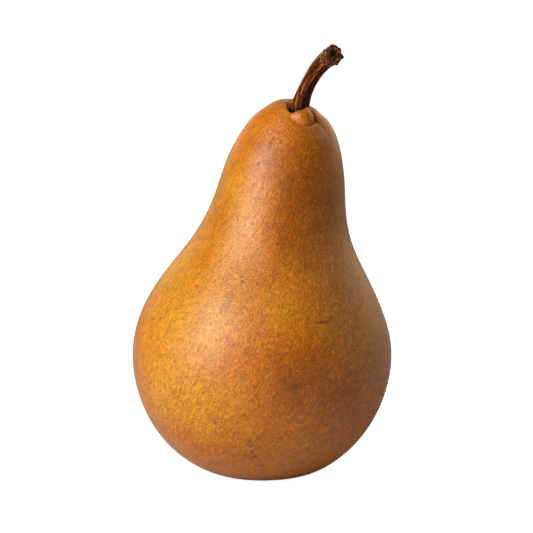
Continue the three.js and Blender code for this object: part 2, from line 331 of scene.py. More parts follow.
# Part of the fruit's profile in which marks, dents and tones find their place on the skin
SKIN_SHARE = (0.33, 0.80)

# How far a mark reaches into and out of the skin
MARK_DEPTH = 3.0

# Depth of a hollow that gets the full painted shade, and the share of painted shade in the basin underneath
HOLLOW_DEPTH = 5.0
BASIN_PAINTED_SHADE = 0.45

# Rows of the fruit lie closer in the crown: how much, and the heights between which that sets in
CROWN_ROWS = {"more": 2.5, "between": (96, 102)}

# Facets round the calyx and rows along it, and corners of the round floor
CALYX_FACETS = (200, 90)
FLOOR_CORNERS = 96

# Points of the finely divided curves that places are measured off on
LINE_POINTS = 800
SKIN_POINTS = 1500
ROW_POINTS = 4000

# Least length that a normal is divided by, which counts only at the poles
SMALLEST_NORMAL = 1e-9

# Farthest that the box of a finished piece may depart from the box of its solid
LARGEST_DEPARTURE = 1.0

# Camera: width of its sensor, side of the picture in pixels, a pixel's size at the pear, elevation,
# distance, target, and how far it sees in metres
SENSOR = 36.0
PICTURE_SIDE = 533
PIXEL = 0.278
CAMERA_ELEVATION = 10.0
CAMERA_DISTANCE = 600.0
CAMERA_TARGET = (1.25, 0.0, 58.75)
CAMERA_REACH = 20

# Lamps, in metres: the soft one at the left, its bright middle and the one above
KEY_PLACE = (-0.465, -0.45, 0.37)
CORE_PLACE = (-0.47, -0.36, 0.39)
CORE_SIZE = (0.20, 0.30)
TOP_PLACE = (0.35, 0.45, 0.60)
TOP_SIZE = (0.7, 0.7)
LAMP_TARGET = (0.0, 0.0, 0.055)

# Surroundings: direction of their pale side, the shares of that direction between which they brighten
# and the rise between which they darken again
PALE_SIDE = (0.40, 0.917, 0.0)
PALE_EDGE = (0.0, 0.7)
PALE_TOP = (0.55, 0.1)


# Shapes

def ramp(x, start, end):
    """Smooth step: 0 up to start, 1 from end on, and 3s² - 2s³ at the share s of the way between."""
    s = np.clip((x - start) / (end - start), 0, 1)
    return s * s * (3 - 2 * s)


def bell(x):
    """Bell curve exp(-x²)."""
    return np.exp(-x * x)


def size_of(vectors):
    """Lengths of vectors."""
    return np.linalg.norm(vectors, axis=-1)


def unit(vectors):
    """Vectors brought to a length of 1."""
    return vectors / size_of(vectors)[..., None]


def run_of(steps):
    """Way run up to each point of a line, from the steps between its points."""
    return np.concatenate([[0], np.cumsum(steps)])


def spline(rows, t):
    """Uniform cubic B-spline: the point at t (0 to 1) is the weighted mean of four rows in turn."""
    rows = np.asarray(rows, float)
    spans = len(rows) - 3
    place = np.clip(t, 0, 1) * spans
    first = np.minimum(place.astype(int), spans - 1)
    f = (place - first)[..., None]
    near = (1 - f) ** 3 * rows[first] + (3 * f**3 - 6 * f**2 + 4) * rows[first + 1]
    far = (-3 * f**3 + 3 * f**2 + 3 * f + 1) * rows[first + 2] + f**3 * rows[first + 3]
    return (near + far) / 6


def with_ends(rows, radius_first):
    """The rows with one more at each end, mirrored, so that the curve reaches the given ends.

    A radius is mirrored to the far side of the axis at the same height, which makes a smooth cap.
    """
    rows = np.asarray(rows, float)
    first = 2 * rows[0] - rows[1]
    last = 2 * rows[-1] - rows[-2]
    if radius_first:
        first[1] = rows[1][1]
        last[1] = rows[-2][1]
    return np.vstack([first, rows, last])


def stem_middle(share):
    """Middle line of the stem at shares of its length, with its tangent and two sides.

    The line is a B-spline through space, measured off by arc length. Past its ends it runs straight on.
    """
    dense = spline(with_ends(STEM_LINE, False), np.linspace(0, 1, LINE_POINTS))
    run = run_of(size_of(np.diff(dense, axis=0)))
    length = run[-1]
    slope = np.gradient(dense, run, axis=0)
    share = np.asarray(share, float)
    inside = np.clip(share, 0, 1) * length
    point = np.stack([np.interp(inside, run, dense[:, k]) for k in range(3)], -1)
    tangent = unit(np.stack([np.interp(inside, run, slope[:, k]) for k in range(3)], -1))
    point = point + (share * length - inside)[..., None] * tangent
    right = unit(np.cross([0.0, 1.0, 0.0], tangent))
    return point, tangent, right, np.cross(tangent, right)


def fruit_rows():
    """Control rows of the whole fruit: calyx pocket, basin, foot ring, skin, and the stem's pocket."""
    foot = [(FOOT_RADIUS + step, 0) for step in FOOT_STEPS]
    rows = [(radius, height, 0, 0) for radius, height in CALYX_POCKET + BASIN + foot]
    rows += [(radius * BELLY_RADIUS, height * BODY_HEIGHT, x, y) for radius, height, x, y in SKIN]
    for girth, share in reversed(ROOT_GIRTH[1:]):
        middle = stem_middle(share)[0]
        rows.append((girth * STEM_RADIUS + GAP, middle[2], middle[0], middle[1]))
    bottom = stem_middle(ROOT_GIRTH[0][1])[0]
    for radius in (rows[-1][0] / 2, 0):
        rows.append((radius, bottom[2] - GAP, bottom[0], bottom[1]))
    return with_ends(rows, True)


def fruit_shape(angle, t):
    """Fruit: rings round a leaning axis whose radius and height follow one B-spline from t = 0, the
    top of the calyx pocket, over the skin, to t = 1, the bottom of the stem's pocket.

    The radius is multiplied by 1 + a sum of cosine lobes, the crown is tilted, and each fold pushes the
    points near its middle by exp(-d³) of its push. Creases and grooves sink by exp(-d²) of their depth.
    Returns the points, and from 0 to 1 how deep each lies in a crease, a hollow, the pocket or the basin,
    which the skin darkens as painted shade, partly the darker skin round the stem and calyx.
    """
    rows = fruit_rows()
    spans = len(rows) - 3
    lip = spans - len(ROOT_GIRTH) - 1
    ring, height, x, y = np.moveaxis(spline(rows, t), -1, 0)
    outside = 1 - ramp(t * spans - lip, *LIP_ROUNDING)
    swell = 0
    for count, size, at, level, reach in LOBES:
        swell = swell + size * np.cos(count * (angle - math.radians(at))) * bell((height - level) / reach)
    radius = ring * (1 + swell * outside)
    point = np.stack([x + radius * np.cos(angle), y + radius * np.sin(angle), height], -1)
    rise = CROWN_SLOPE["x"] * (point[..., 0] - CROWN_SLOPE["middle"]) + CROWN_SLOPE["y"] * point[..., 1]
    point[..., 2] += rise * outside * ramp(height, *CROWN_SLOPE["between"])

    outward = unit(point - np.array(NECK_MIDDLE))
    pushed = point.copy()
    # Painted shade: full in the stem's pocket, a share in the basin underneath, and more in creases, grooves
    # and hollows
    basin_shade_share = ramp(ring, FOOT_RADIUS, 0) * (t * spans < len(CALYX_POCKET + BASIN))
    depth = 1 - outside + BASIN_PAINTED_SHADE * basin_shade_share
    for middle, reach, push, crease in FOLDS:
        distance = size_of((point - middle) / reach)
        fold = outside * np.exp(-distance**3)
        pushed += fold[..., None] * push
        below = ramp((middle[2] - point[..., 2]) / reach[2], *CREASE_BELOW)
        sink = outside * crease * below * bell((distance - CREASE_PLACE) / CREASE_WIDTH)
        pushed -= sink[..., None] * outward
        depth = depth + sink + fold * max(0, -push[2]) / HOLLOW_DEPTH
    for start, end, width, groove in GROOVES:
        start = np.array(start)
        way = np.array(end) - start
        along = np.clip((point - start) @ way / (way @ way), 0, 1)
        distance = size_of(point - start - along[..., None] * way) / width
        sink = outside * groove * bell(distance)
        pushed -= sink[..., None] * outward
        depth = depth + sink
    return pushed, np.clip(depth, 0, 1)


def fruit_surface(angle, t):
    """Points of the fruit alone."""
    return fruit_shape(angle, t)[0]


def skin_point(angle, height):
    """Point of the skin at an angle round the body and a height."""
    t = np.linspace(*SKIN_SHARE, SKIN_POINTS)
    line = fruit_surface(np.full_like(t, math.radians(angle)), t)
    return line[np.abs(line[:, 2] - height).argmin()]


def stem_shape(angle, t):
    """Stem: rings across a bent line, their radius a B-spline of the place along it.

    The radius is multiplied by 1 + a sum of bell-shaped ridges that turn slowly round the stem, and
    each nodule pushes the points near its middle outwards by exp(-d²) of its height. Fine wrinkles, a
    sum of cosines round the stem whose phase wanders along it, are added to the radius.
    Returns the points, the relief of ridges and wrinkles, which the bark paints lighter on crests and darker
    in furrows as painted highlight and shade, and from 0 to 1 how far each point is scar.
    """
    girth, share = np.moveaxis(spline(with_ends(ROOT_GIRTH + SHAFT_GIRTH + SCAR_GIRTH, True), t), -1, 0)
    middle, _, right, back = stem_middle(share)
    strength = ramp(share, *RIDGE_START)
    strength = strength * np.minimum(1, RIDGE_FADE["from"] - RIDGE_FADE["slope"] * share)
    relief = -RIDGE_SINK
    for at, height, width, turn in RIDGES:
        away = (np.degrees(angle) - at - turn * share + 180) % 360 - 180
        relief = relief + height * bell(away / width)
    fine = 0
    for number, (count, height, wander) in enumerate(WRINKLES):
        phase = WRINKLE_PATH["rate"] * share * (1 + number) + WRINKLE_PATH["lag"] * number
        drift = wander * np.sin(phase) + WRINKLE_PATH["turn"] * share
        turned = angle * 2 + WRINKLE_SWELL["turn"] * share + number
        swell = WRINKLE_SWELL["mean"] + WRINKLE_SWELL["swing"] * np.cos(turned)
        fine = fine + height * swell * np.cos(count * angle + drift * 2)
    radius = girth * STEM_RADIUS * (1 + relief * strength) + fine * strength
    across = np.cos(angle)[..., None] * right + np.sin(angle)[..., None] * back
    point = middle + radius[..., None] * across

    tip, tangent, tip_right, tip_back = stem_middle(1.0)
    pushed = point.copy()
    for at, place, step, height, reach in NODULES:
        outward = math.cos(math.radians(at)) * tip_right + math.sin(math.radians(at)) * tip_back
        centre = tip + SCAR_RADIUS * place * outward + step * tangent
        push = unit(outward * place + tangent * (1 - NODULE_LEAN * place))
        pushed += (height * bell(size_of(point - centre) / reach))[..., None] * push
    return pushed, relief * strength + fine * strength / WRINKLE_TINT, ramp(share, *BARK_END)


def stem_surface(angle, t):
    """Points of the stem alone."""
    return stem_shape(angle, t)[0]


def calyx_surface(angle, t):
    """Calyx: a plug with a thin plate whose rim runs out into five sepals.

    Near each sepal's angle, a bell-shaped share adds its length to the radius and takes its droop from
    the height.
    """
    radius, height = np.moveaxis(spline(with_ends(CALYX_PLATE + CALYX_PLUG, True), t), -1, 0)
    flare = ramp(radius, *SEPAL_START["radius"]) * ramp(height, *SEPAL_START["height"])
    for at, length, droop in SEPALS:
        away = (np.degrees(angle) - at + 180) % 360 - 180
        share = flare * bell(away / SEPAL_WIDTH)
        radius = radius + length * share
        height = height - droop * share**DROOP_CURVE
    return np.stack([radius * np.cos(angle), radius * np.sin(angle), height], -1)


def ripples(points, seed, count, longest, shortest, height):
    """Random relief: a sum of cosine waves in seeded directions, weighted by their lengths."""
    draw = np.random.default_rng(seed)
    ways = unit(draw.normal(size=(count, 3)))
    lengths = np.exp(draw.uniform(math.log(shortest), math.log(longest), count))
    phases = draw.uniform(0, 2 * math.pi, count)
    waves = np.cos(points @ (ways * (2 * math.pi / lengths)[:, None]).T + phases)
    weights = lengths / np.linalg.norm(lengths)
    return height * waves @ weights


def even_rows(surface, count, finer=None):
    """Values of t whose rings lie evenly along the profile, closer where finer says so."""
    t = np.linspace(0, 1, ROW_POINTS)
    line = surface(np.zeros_like(t), t)
    middle = (line[1:] + line[:-1]) / 2
    run = run_of(size_of(np.diff(line, axis=0)) * (1 if finer is None else finer(middle)))
    return np.interp(np.linspace(0, run[-1], count + 1), run, t)


def along_normals(grid, depth):
    """Moves each point of a closed grid outwards by its depth, along the grid's own normals."""
    around = np.roll(grid, -1, 1) - np.roll(grid, 1, 1)
    along = np.gradient(grid, axis=0)
    normal = np.cross(around, along)
    size = np.maximum(size_of(normal), SMALLEST_NORMAL)
    return grid + depth[..., None] * normal / size[..., None]


def listed(grid):
    """The rows of a grid one after another, with a single entry for each pole."""
    inner = grid[1:-1].reshape(-1, grid.shape[2])
    return np.concatenate([grid[0, :1], inner, grid[-1, :1]])


def corners_of(*places):
    """UV corners of faces of one kind, from the turn and the row of each corner."""
    pairs = [np.stack(np.broadcast_arrays(turn, row), -1) for turn, row in places]
    return np.stack(pairs, -2).reshape(-1, 2)


def unrolled(around, rows):
    """UV corners of all faces of a closed grid, unrolled round and along."""
    left = np.arange(around) / around
    right = left + 1 / around
    middle = left + 0.5 / around
    low, high = rows[1:-2, None], rows[2:-1, None]
    return np.concatenate([
        corners_of((middle, rows[0]), (right, rows[1]), (left, rows[1])),
        corners_of((left, low), (right, low), (right, high), (left, high)),
        corners_of((middle, rows[-1]), (left, rows[-2]), (right, rows[-2])),
    ])


def lay_skin(name, grid, rows, tones=None):
    """Makes the closed mesh of a grid of points in millimetres whose first and last rows are poles.

    Quads join the rows and triangles the poles. Each tone, a grid of numbers or of vectors, becomes an
    attribute of the mesh.
    """
    count, around = grid.shape[:2]
    points = listed(grid) * MM
    index = 1 + np.arange((count - 2) * around).reshape(count - 2, around)
    beside = np.roll(index, -1, 1)
    quads = np.stack([index[:-1], beside[:-1], beside[1:], index[1:]], -1).reshape(-1, 4)
    pole = np.zeros(around, int)
    low = np.stack([pole, beside[0], index[0]], -1)
    high = np.stack([pole + len(points) - 1, index[-1], beside[-1]], -1)
    mesh = bpy.data.meshes.new(name)
    mesh.from_pydata(points.tolist(), [], low.tolist() + quads.tolist() + high.tolist())
    mesh.uv_layers.new(name="OFBake").data.foreach_set("uv", unrolled(around, rows).ravel())
    mesh.polygons.foreach_set("use_smooth", np.ones(len(mesh.polygons), bool))
    for label, values in (tones or {}).items():
        vector = values.ndim == 3
        flat = listed(values.reshape(count, around, -1)).astype(np.float32)
        layer = mesh.attributes.new(label, "FLOAT_VECTOR" if vector else "FLOAT", "POINT")
        layer.data.foreach_set("vector" if vector else "value", flat.ravel())
    mesh.validate()
    piece = bpy.data.objects.new(name, mesh)
    bpy.context.scene.collection.objects.link(piece)
    return piece


def places_of(around, rows):
    """Angle and row of each point of a grid, the angles evenly spaced."""
    return np.meshgrid(np.linspace(0, 2 * math.pi, around, endpoint=False), rows)


def flow_of(grid, angle, radius, twist=0.0):
    """Place of each point on an upright cylinder wrapped round the piece, which streaks follow.

    Its height is the way run along the piece, and its angle turns by the twist in each millimetre.
    """
    run = run_of(size_of(np.diff(grid, axis=0)).mean(1))[:, None]
    turn = angle - twist * run
    return np.stack([radius * np.cos(turn), radius * np.sin(turn), run + 0 * turn], -1)


def crown_weight(points):
    """How close the rows of the fruit lie: 1, and more in the crown."""
    return 1 + CROWN_ROWS["more"] * ramp(points[:, 2], *CROWN_ROWS["between"])


def near_skin(grid, angle, height, reach):
    """Bell curve of the distance from a place on the skin, in reaches."""
    return bell(size_of(grid - skin_point(angle, height)) / reach)


def swellings(grid, height):
    """Soft relief of the skin: random waves less the dents, faded out at the foot and at the crown."""
    waves = ripples(grid, *SWELLINGS, height)
    for angle, middle, reach, depth in DENTS:
        waves -= depth * near_skin(grid, angle, middle, reach)
    level = grid[..., 2]
    return waves * (ramp(level, *SWELLING_START) * ramp(level, *SWELLING_END))


def tone_shares(grid):
    """Share of each broad tone: random waves plus a bell curve for each patch, kept between 0 and 1."""
    shares = {}
    for number, (tone, patches) in enumerate(TONES.items()):
        share = ripples(grid, TONE_SEED + number, *TONE_WAVES, TONE_RIPPLE)
        for angle, height, reach, strength in patches:
            share += strength * near_skin(grid, angle, height, reach)
        shares[tone] = np.clip(share, 0, 1)
    return shares


def fit_frame(piece, node):
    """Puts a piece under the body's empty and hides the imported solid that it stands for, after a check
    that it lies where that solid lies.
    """
    low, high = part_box(node)
    points = np.empty(len(piece.data.vertices) * 3, np.float32)
    piece.data.vertices.foreach_get("co", points)
    points = points.reshape(-1, 3)
    off = max(abs(points.min(0) - np.array(low)).max(), abs(points.max(0) - np.array(high)).max())
    if off > LARGEST_DEPARTURE * MM:
        raise RuntimeError(f"{piece.name} departs from the solid {node} by {off / MM:.2f} mm")
    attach(piece, "root")
    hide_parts(node)


# Materials

class Tree:
    """Adds nodes to a material or a group, with sockets or values for their inputs."""

    def __init__(self, tree):
        self.tree = tree

    def link(self, source, target):
        """Feeds one socket into another."""
        self.tree.links.new(source, target)

    def add(self, kind, inputs=None, **settings):
        """One node: settings are its own, and inputs maps a socket's name or number to a value or socket."""
        node = self.tree.nodes.new(kind)
        for name, value in settings.items():
            setattr(node, name, value)
        for key, value in (inputs or {}).items():
            if isinstance(value, bpy.types.NodeSocket):
                self.link(value, node.inputs[key])
            else:
                node.inputs[key].default_value = value
        return node

    def math(self, operation, *values):
        """Arithmetic on one to three values."""
        return self.add("ShaderNodeMath", dict(enumerate(values)), operation=operation).outputs[0]

    def plus(self, first, second):
        """Two values added."""
        return self.math("ADD", first, second)

    def minus(self, first, second):
        """The second value taken from the first."""
        return self.math("SUBTRACT", first, second)

    def times(self, first, second):
        """Two values multiplied."""
        return self.math("MULTIPLY", first, second)

    def swing(self, value, middle, size):
        """How far a value lies above a middle one, times a size."""
        return self.times(self.minus(value, middle), size)

    def vector(self, operation, *values, output=0):
        """Arithmetic on vectors."""
        return self.add("ShaderNodeVectorMath", dict(enumerate(values)), operation=operation).outputs[output]

    def scaled(self, colour, factor):
        """Colour or vector times a value."""
        return self.add("ShaderNodeVectorMath", {0: colour, "Scale": factor}, operation="SCALE").outputs[0]

    def stretched(self, vector, along):
        """Place on the wrapped cylinder with its height scaled, so that a pattern there is longer."""
        return self.add("ShaderNodeMapping", {"Vector": vector, "Scale": (1, 1, along)}).outputs[0]

    def steps(self, value, low, high, start=0.0, end=1.0):
        """Smooth step of a value from low to high, put out as start to end."""
        inputs = {"Value": value, "From Min": low, "From Max": high, "To Min": start, "To Max": end}
        return self.add("ShaderNodeMapRange", inputs, interpolation_type="SMOOTHSTEP").outputs[0]

    def mix(self, share, first, second):
        """Colour between first and second."""
        return self.add("ShaderNodeMix", {0: share, 6: first, 7: second}, data_type="RGBA").outputs[2]

    def noise(self, vector, scale, detail, roughness, warp=0.0):
        """Fractal noise between 0 and 1."""
        inputs = {"Vector": vector, "Scale": scale, "Detail": detail, "Roughness": roughness,
                  "Distortion": warp}
        return self.add("ShaderNodeTexNoise", inputs).outputs[0]

    def scattered(self, vector, per_mm):
        """Uneven cells: a random number for each, and the distance from its middle."""
        cells = self.add("ShaderNodeTexVoronoi", {"Vector": vector, "Scale": per_mm})
        pick = self.add("ShaderNodeSeparateColor", {0: cells.outputs["Color"]}).outputs[0]
        return pick, cells.outputs["Distance"]

    def attribute(self, name, output="Fac"):
        """Values that the mesh itself carries."""
        return self.add("ShaderNodeAttribute", attribute_name=name).outputs[output]

    def shared(self, name, inputs):
        """One of the shared node groups."""
        return self.add("ShaderNodeGroup", inputs, node_tree=shared_group(name))

    def bump(self, height, depth):
        """Normal of a relief whose height from 0 to 1 stands for a depth in metres."""
        return self.add("ShaderNodeBump", {"Strength": 1.0, "Distance": depth, "Height": height}).outputs[0]


def rgba(colour):
    """A colour with full alpha, as colour sockets take it."""
    return (*colour, 1.0)


def new_group(name, inputs, outputs):
    """Empty shader group with its named inputs (name to default) and outputs."""
    group = bpy.data.node_groups.new(name, "ShaderNodeTree")
    for label, default in inputs.items():
        kind = "NodeSocketVector" if isinstance(default, tuple) else "NodeSocketFloat"
        socket = group.interface.new_socket(label, in_out="INPUT", socket_type=kind)
        socket.default_value = default
    for label in outputs:
        group.interface.new_socket(label, in_out="OUTPUT", socket_type="NodeSocketFloat")
    tree = Tree(group)
    entry = tree.add("NodeGroupInput").outputs
    result = tree.add("NodeGroupOutput").inputs
    return group, tree, entry, result


def grain_group():
    """Grain: fine and coarse noise with a lighter or darker speck in each cell, put out as a fleck from
    about -1 to 1 and as a height round 0.5.
    """
    inputs = {"Vector": (0.0, 0.0, 0.0), "Per mm": 1.0}
    group, tree, entry, result = new_group("grain", inputs, ["Fleck", "Height"])
    place, per_mm = entry["Vector"], entry["Per mm"]
    fine = tree.noise(place, per_mm, 2.0, 0.6)
    coarse = tree.noise(place, tree.times(per_mm, 0.37), 2.0, 0.5)
    both = tree.plus(tree.times(fine, 0.75), tree.times(coarse, 0.25))
    pick, distance = tree.scattered(place, tree.times(per_mm, 1.15))
    speck = tree.swing(pick, 0.5, tree.steps(distance, 0.75, 0.15))
    fleck = tree.math("MULTIPLY_ADD", speck, 2.4, tree.swing(both, 0.5, 3.2))
    tree.link(fleck, result["Fleck"])
    tree.link(tree.math("MULTIPLY_ADD", speck, 0.8, both), result["Height"])
    return group


def net_group():
    """Net: uneven cells parted by thin lines, put out as 1 inside a cell and 0 on a line."""
    inputs = {"Vector": (0.0, 0.0, 0.0), "Per mm": 1.0, "Line": 0.15, "Warp": 0.5}
    group, tree, entry, result = new_group("net", inputs, ["Cell"])
    place, per_mm = entry["Vector"], entry["Per mm"]
    bend = tree.add("ShaderNodeTexNoise", {"Vector": place, "Scale": per_mm, "Detail": 2.0}).outputs["Color"]
    centred = tree.vector("SUBTRACT", bend, (0.5, 0.5, 0.5))
    shift = tree.scaled(centred, tree.math("DIVIDE", entry["Warp"], per_mm))
    edge = tree.add("ShaderNodeTexVoronoi", {"Vector": tree.vector("ADD", place, shift), "Scale": per_mm},
                    feature="DISTANCE_TO_EDGE").outputs["Distance"]
    tree.link(tree.steps(edge, 0.0, entry["Line"]), result["Cell"])
    return group


def dots_group():
    """Dots: round spots scattered one to a cell, their share of the cells set by Share."""
    inputs = {"Vector": (0.0, 0.0, 0.0), "Per mm": 1.0, "Radius": 0.25, "Share": 0.5}
    group, tree, entry, result = new_group("dots", inputs, ["Mask"])
    pick, distance = tree.scattered(entry["Vector"], entry["Per mm"])
    chosen = tree.math("LESS_THAN", pick, entry["Share"])
    inside = tree.steps(tree.minus(entry["Radius"], distance), 0.0, 0.12)
    tree.link(tree.times(chosen, inside), result["Mask"])
    return group


def mark_group():
    """Mark: a spot round a place, 1 inside and 0 outside, its edge made ragged by Edge.

    The offset from the place is turned into the frame of the skin there (outwards, round and along, then
    leant) and divided by the reach, and the spot fades out where the length of that comes near 1.
    """
    nothing = (0.0, 0.0, 0.0)
    inputs = {"Vector": nothing, "Place": nothing, "Turn": nothing, "Reach": (1.0, 1.0, 1.0), "Edge": 0.5}
    group, tree, entry, result = new_group("mark", inputs, ["Mask"])
    away = tree.vector("SUBTRACT", entry["Vector"], entry["Place"])
    turned = tree.add("ShaderNodeVectorRotate", {"Vector": away, "Rotation": entry["Turn"]},
                      rotation_type="EULER_XYZ", invert=True).outputs[0]
    distance = tree.vector("LENGTH", tree.vector("DIVIDE", turned, entry["Reach"]), output="Value")
    ragged = tree.plus(distance, tree.times(entry["Edge"], 0.9))
    tree.link(tree.steps(ragged, 1.75, 0.95), result["Mask"])
    return group


def shared_group(name):
    """A shared node group, built when it is first asked for."""
    makers = {"grain": grain_group, "net": net_group, "dots": dots_group, "mark": mark_group}
    return bpy.data.node_groups.get(name) or makers[name]()


def new_material(name):
    """Material with its tree, the inputs of its shader and the place on the piece in millimetres."""
    material = bpy.data.materials.new(name)
    material.use_nodes = True
    tree = Tree(material.node_tree)
    shader = material.node_tree.nodes["Principled BSDF"].inputs
    place = tree.add("ShaderNodeTexCoord").outputs["Object"]
    return material, tree, shader, tree.vector("MULTIPLY", place, (1 / MM,) * 3)


def place_marks(tree, colour, place, look):
    """Lays the small marks of the skin over a colour, each a spot in the frame of the skin at its place."""
    edge = tree.noise(place, *NOISES["edge"])
    for angle, height, around, along, lean, tint, strength in MARKS:
        inputs = {"Vector": place, "Place": tuple(skin_point(angle, height)), "Edge": edge,
                  "Reach": (MARK_DEPTH, around, along),
                  "Turn": (math.radians(lean), 0.0, math.radians(angle))}
        mask = tree.shared("mark", inputs).outputs["Mask"]
        colour = tree.mix(tree.times(mask, strength), colour, rgba(getattr(look, tint)))
    return colour


def lay_tones(tree, mottle, look):
    """Ground colour of the skin with its golden, brown and olive patches."""
    colour = rgba(look.ground)
    for tone, factor in TONE_MOTTLE.items():
        share = tree.plus(tree.attribute(tone), tree.times(mottle, factor))
        colour = tree.mix(tree.steps(share, 0.0, 0.95), colour, rgba(getattr(look, tone)))
    return colour


def lay_net(tree, colour, place, flow, mottle, look):
    """Lays the pale net and a finer one over a colour, and returns it with the cells of the finer net."""
    net = tree.plus(tree.attribute("net"), mottle)
    large = {"Vector": tree.stretched(flow, STRETCH["net"]), "Per mm": look.net, **NET}
    small = {"Vector": place, "Per mm": look.net * FINE_NET_SCALE, **FINE_NET}
    small_cells = tree.shared("net", small).outputs["Cell"]
    lattice = tree.swing(tree.shared("net", large).outputs["Cell"], 0.45, tree.steps(net, 0.1, 0.9))
    relief = tree.plus(lattice, tree.swing(small_cells, 0.6, 0.50))
    colour = tree.mix(tree.steps(relief, 0.05, 0.60, 0.0, 0.26), colour, rgba(look.pale))
    colour = tree.mix(tree.steps(relief, -0.05, -0.5, 0.0, 0.24), colour, rgba(look.pit))
    return colour, small_cells


def skin_material(look):
    """Russet skin: tones, pale net, blotches, grain, streaks, pits and small marks, darkened in its creases,
    hollows and basin: partly painted shade, partly the darker skin round the stem and calyx.
    """
    material, tree, shader, place = new_material("russet_skin")
    flow = tree.attribute("flow", "Vector")
    mottle = tree.swing(tree.noise(place, *NOISES["cloud"]), 0.5, 0.9)
    colour = lay_tones(tree, mottle, look)
    colour, small_cells = lay_net(tree, colour, place, flow, mottle, look)
    blotch = tree.noise(tree.stretched(flow, STRETCH["blotch"]), *NOISES["blotch"])
    colour = tree.scaled(colour, tree.steps(blotch, 0.3, 0.7, 1 - look.blotches, 1 + look.blotches))

    fine = tree.shared("grain", {"Vector": place, "Per mm": look.grain}).outputs
    streaks = tree.shared("grain", {"Vector": tree.stretched(flow, STRETCH["streaks"]),
                                    "Per mm": look.grain * STREAK_SCALE}).outputs
    fleck = tree.math("MULTIPLY_ADD", fine["Fleck"], 0.85, tree.times(streaks["Fleck"], 0.35))
    colour = tree.mix(tree.steps(fleck, 0.25, 1.0, 0.0, 0.22), colour, rgba(look.pale))
    colour = tree.scaled(colour, tree.steps(fleck, -1.0, 1.0, 1 - look.contrast, 1 + look.contrast))
    pits = tree.shared("dots", {"Vector": tree.stretched(flow, STRETCH["pits"]), "Per mm": look.pits,
                                **PITS}).outputs["Mask"]
    colour = tree.mix(tree.times(pits, 0.48), colour, rgba(look.pit))
    colour = place_marks(tree, colour, place, look)
    # Creases, hollows, the pocket and the basin darkened towards near-black: painted shade, partly the
    # darker skin round the stem and calyx
    crease = tree.attribute("crease")
    colour = tree.mix(tree.steps(crease, 0.2, 0.9, 0.0, 0.85), colour, rgba(look.crease))
    tree.link(colour, shader["Base Color"])

    shader["IOR"].default_value = 1.50
    roughness = tree.steps(fleck, -1.0, 1.0, look.roughness + 0.12, look.roughness - 0.06)
    tree.link(tree.plus(roughness, tree.steps(crease, 0.1, 0.6, 0.0, 0.6)), shader["Roughness"])
    height = tree.plus(fine["Height"], tree.times(streaks["Height"], 0.35))
    height = tree.plus(height, tree.times(small_cells, 0.60))
    height = tree.minus(height, tree.times(pits, 0.50))
    tree.link(tree.bump(height, look.grain_depth), shader["Normal"])
    return material


def scar_tint(tree, place, scar, lumps, look):
    """Colour of the scar: black-brown lumps with tan flecks, and grey where it meets the bark."""
    colour = tree.mix(tree.steps(lumps, 0.40, 0.62), rgba(look.crack), rgba(look.bark))
    flecks = tree.noise(place, *NOISES["flecks"])
    colour = tree.mix(tree.steps(flecks, 0.54, 0.64, 0.0, 0.85), colour, rgba(look.tan))
    greys = tree.steps(tree.noise(place, *NOISES["greys"]), 0.44, 0.60)
    share = tree.times(greys, tree.steps(scar, 1.0, 0.7, 0.2, 0.75))
    return tree.mix(share, colour, rgba(look.grey))


def wood_material(look):
    """Stem wood: reddish bark streaked and cracked along the stem, with a painted highlight in orange on its
    crests and painted shade in its furrows and at its root, and the scar at its end.
    """
    material, tree, shader, place = new_material("stem_bark")
    flow = tree.attribute("flow", "Vector")
    fibres = tree.noise(tree.stretched(flow, STRETCH["fibres"]), *NOISES["fibres"])
    colour = tree.mix(tree.steps(fibres, 0.38, 0.66), rgba(look.dark), rgba(look.bark))
    patches = tree.noise(tree.stretched(flow, STRETCH["patches"]), *NOISES["patches"])
    # Painted highlight and shade: crests lighter orange and furrows dark, from the relief with random
    # patches
    painted_relief = tree.plus(tree.attribute("relief"), tree.swing(patches, 0.5, 0.3))
    colour = tree.mix(tree.steps(painted_relief, 0.04, 0.20, 0.0, 0.85), colour, rgba(look.light))
    colour = tree.mix(tree.steps(painted_relief, 0.02, -0.14, 0.0, 0.80), colour, rgba(look.dark))
    cracks = tree.noise(tree.stretched(flow, STRETCH["cracks"]), *NOISES["cracks"])
    crack = tree.steps(tree.math("ABSOLUTE", tree.minus(cracks, 0.5)), 0.022, 0.004)
    colour = tree.mix(tree.times(crack, 0.75), colour, rgba(look.crack))

    scar = tree.attribute("scar")
    lumps = tree.noise(place, *NOISES["lumps"])
    edge = tree.plus(scar, tree.swing(lumps, 0.5, 1.6))
    share = tree.times(tree.steps(edge, 0.35, 0.75), tree.steps(scar, 0.0, 0.25))
    colour = tree.mix(share, colour, scar_tint(tree, place, scar, lumps, look))
    # Painted shade at the root, where the stem sinks into the flesh: darkened towards the colour of the
    # cracks
    root = tree.add("ShaderNodeSeparateXYZ", {0: flow}).outputs[2]
    shade = tree.steps(root, look.root_shade_end / MM, look.root_shade_start / MM, 0.0, 0.8)
    tree.link(tree.mix(shade, colour, rgba(look.crack)), shader["Base Color"])

    shader["Specular IOR Level"].default_value = 0.10
    tree.link(tree.steps(fibres, 0.3, 0.7, 0.62, 0.42), shader["Roughness"])
    grain = tree.shared("grain", {"Vector": place, "Per mm": BARK_GRAIN}).outputs["Height"]
    height = tree.plus(tree.times(fibres, 0.7), tree.times(grain, 0.4))
    height = tree.minus(height, tree.times(crack, 0.35))
    tree.link(tree.bump(height, look.bark_depth), shader["Normal"])
    return material


